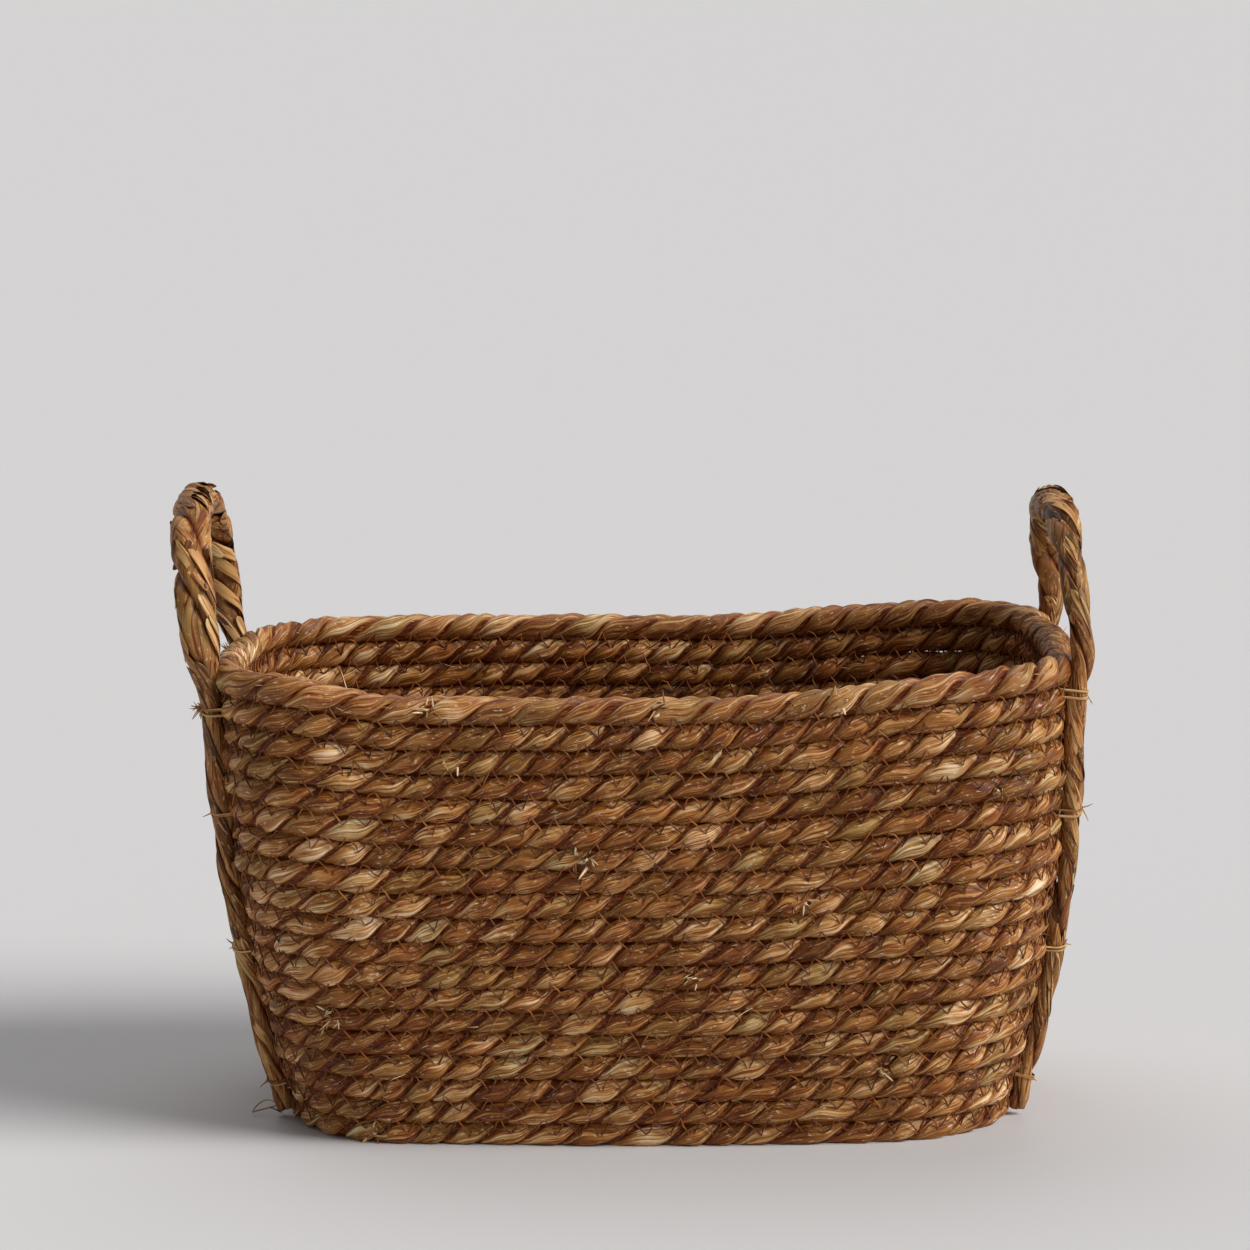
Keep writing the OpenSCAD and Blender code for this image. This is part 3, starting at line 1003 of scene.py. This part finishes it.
def straw():
    """One loose straw that stands up inside the front left corner."""
    foot = np.array([-0.133, 2.6 * ROPE_R - COURSE_B[TOP], COURSE_Z[TOP] - PITCH])
    aim = np.array([-0.30, 0.05, 1.0])
    return curl(foot, aim, np.array([0.0, 1.0, 0.0]), 0.031, 0.08, 0.0006, 1.0, flat=1.5)


def loose_thread(foot):
    """The end of the thread, in a loop on the floor beside the foot of the left front leg."""
    angle = np.linspace(-0.2, TURN * 0.72, 40)
    x = -0.009 - 0.007 * np.cos(angle)
    y = 0.007 * np.sin(angle)
    z = 0.002 + 0.004 * np.sin(angle) ** 2
    loop = np.column_stack([x, y, z])
    line = np.vstack([[0.0, 0.001, 0.006], loop]) + [foot[0], foot[1], 0]
    ones = np.full(len(line), THREAD_R * 0.8)
    return tube(line, np.tile([0.0, 0.0, 1.0], (len(line), 1)), ones, ones, False, 5, 0.6)


def build_loose():
    pieces = build_strays() + [straw(), loose_thread(leg_line("left", "front")[0])]
    for x in RIM_SPLICES:
        pieces += tuft(TOP, x, 12)
    for level, x in WALL_SPLICES:
        pieces += tuft(level, x, 14)
    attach(mesh_object("loose_fibres", pieces, RIM), "basket")


build_courses()
build_base()
build_stitching()
build_base_stitching()
handle_lines = build_handles()
build_ties(handle_lines)
build_loose()

# ---------------------------------------------------------------- floor, light and camera
FLOOR_COLOUR, FLOOR_HALF = (206, 205, 206), 40.0
GLOW, SKY = 0.66, 0.13                        # strength of the light near the horizon and above it
GLOW_HEIGHT, SKY_HEIGHT = 0.10, 0.28          # the glow fades between them, as sines of the height
LENS, SENSOR = 153.36, 36.0                   # millimetres
CAMERA_PLACE = (-0.0092, -2.5246, 0.6290)     # before it is turned round the basket
CAMERA_TURN, CAMERA_PITCH = math.radians(-0.57), math.radians(8.951)


def plain_material(name, colour, roughness):
    material = bpy.data.materials.new(name)
    material.use_nodes = True
    shader = material.node_tree.nodes["Principled BSDF"]
    shader.inputs["Base Color"].default_value = srgb(*colour)
    shader.inputs["Roughness"].default_value = roughness
    return material


def build_stage():
    """A wide, plain, pale floor."""
    mesh = bpy.data.meshes.new("floor")
    corners = [(x * FLOOR_HALF, y * FLOOR_HALF, 0) for x, y in ((-1, -1), (1, -1), (1, 1), (-1, 1))]
    mesh.from_pydata(corners, [], [(0, 1, 2, 3)])
    mesh.materials.append(plain_material("floor_paint", FLOOR_COLOUR, 0.85))
    floor = bpy.data.objects.new("floor", mesh)
    bpy.context.scene.collection.objects.link(floor)


def sun_light(name, towards, strength, softness, colour):
    """A light from far away. towards points from the basket to the light."""
    light = bpy.data.lights.new(name, "SUN")
    light.energy, light.angle, light.color = strength, math.radians(softness), colour
    lamp = bpy.data.objects.new(name, light)
    bpy.context.scene.collection.objects.link(lamp)
    lamp.rotation_mode = "QUATERNION"
    lamp.rotation_quaternion = Vector(towards).to_track_quat("Z", "Y")


def build_light():
    """A broad key light from the right, a soft one from behind, and a room that glows low down."""
    sun_light("key", (1.00, -0.42, 0.85), 3.3, 34, (1, 0.985, 0.96))
    sun_light("back", (-0.15, 0.55, 1.00), 1.0, 60, (1, 1, 1))
    world = bpy.data.worlds.new("studio")
    world.use_nodes = True
    tree = world.node_tree
    direction = add(tree, "ShaderNodeTexCoord").outputs["Generated"]
    height = add(tree, "ShaderNodeSeparateXYZ", {0: direction}).outputs[2]
    strength = ranged(tree, height, GLOW_HEIGHT, SKY_HEIGHT, GLOW, SKY)
    tree.links.new(strength, tree.nodes["Background"].inputs[1])
    tree.nodes["Background"].inputs[0].default_value = (0.98, 0.98, 1.0, 1)
    bpy.context.scene.world = world
    bpy.context.scene.view_settings.view_transform = "Standard"


def build_camera():
    """A long lens from the front, a little above the rim."""
    data = bpy.data.cameras.new("camera")
    data.lens, data.sensor_width = LENS, SENSOR
    camera = bpy.data.objects.new("camera", data)
    bpy.context.scene.collection.objects.link(camera)
    x, y, z = CAMERA_PLACE
    camera.location = (
        x * math.cos(CAMERA_TURN) - y * math.sin(CAMERA_TURN),
        x * math.sin(CAMERA_TURN) + y * math.cos(CAMERA_TURN),
        z,
    )
    camera.rotation_euler = (math.pi / 2 - CAMERA_PITCH, 0, CAMERA_TURN)
    bpy.context.scene.camera = camera


build_stage()
build_light()
build_camera()
